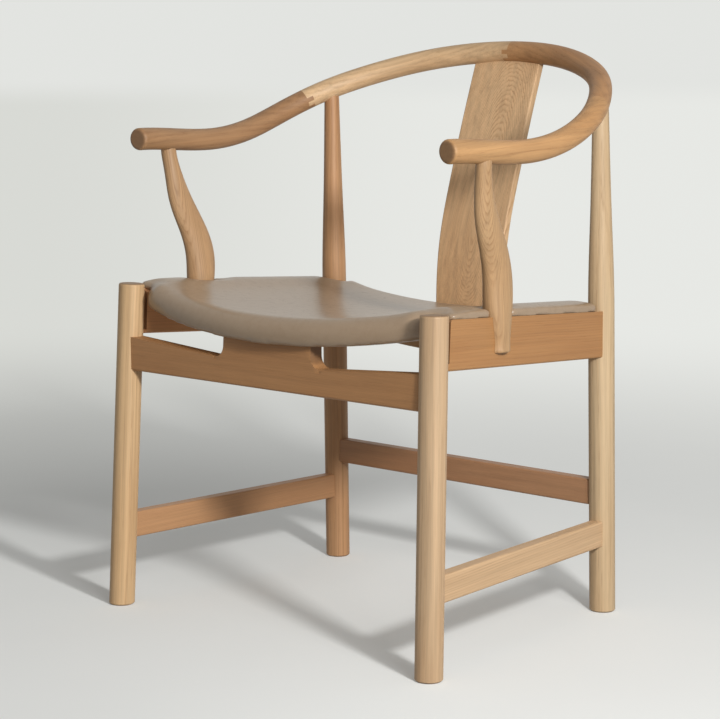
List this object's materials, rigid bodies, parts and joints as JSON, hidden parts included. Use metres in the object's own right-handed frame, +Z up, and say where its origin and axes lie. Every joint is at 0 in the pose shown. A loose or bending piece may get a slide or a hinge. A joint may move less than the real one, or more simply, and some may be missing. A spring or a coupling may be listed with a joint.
{
  "type": "horseshoe back armchair",
  "caption": "Wooden armchair with a round horseshoe crest rail that sweeps down into the arms, a bent back splat and a dished leather seat on round splayed legs.",
  "frame": {"origin": "on the floor, under the middle of the chair's overall width and depth", "axes": "+Z up, -Y towards the front of the chair, where the sitter's knees go, and +X towards the chair's side that is on the right when it is seen from the front"},
  "size_m": [0.6074, 0.5615, 0.7971],
  "materials": {
    "ash": "satin oil",
    "plywood": "sanded",
    "foam": "open cell",
    "leather": "soft sheen",
    "steel": "zinc plated",
    "felt": "dense felt"
  },
  "bodies": {
    "root": {"front_left_leg": "ash", "front_right_leg": "ash", "rear_left_leg": "ash", "rear_right_leg": "ash", "front_seat_rail": "ash", "rear_seat_rail": "ash", "left_seat_rail": "ash", "right_seat_rail": "ash", "left_stretcher": "ash", "right_stretcher": "ash", "rear_stretcher": "ash", "left_arm_support": "ash", "right_arm_support": "ash", "back_splat": "ash", "crest_left_arm": "ash", "crest_left_back": "ash", "crest_right_back": "ash", "crest_right_arm": "ash", "arm_support_dowels": "ash", "seat_panel": "plywood", "seat_foam": "foam", "seat_cover": "leather", "seat_screws": "steel", "leg_glides": "felt"}
  },
  "joints": []
}
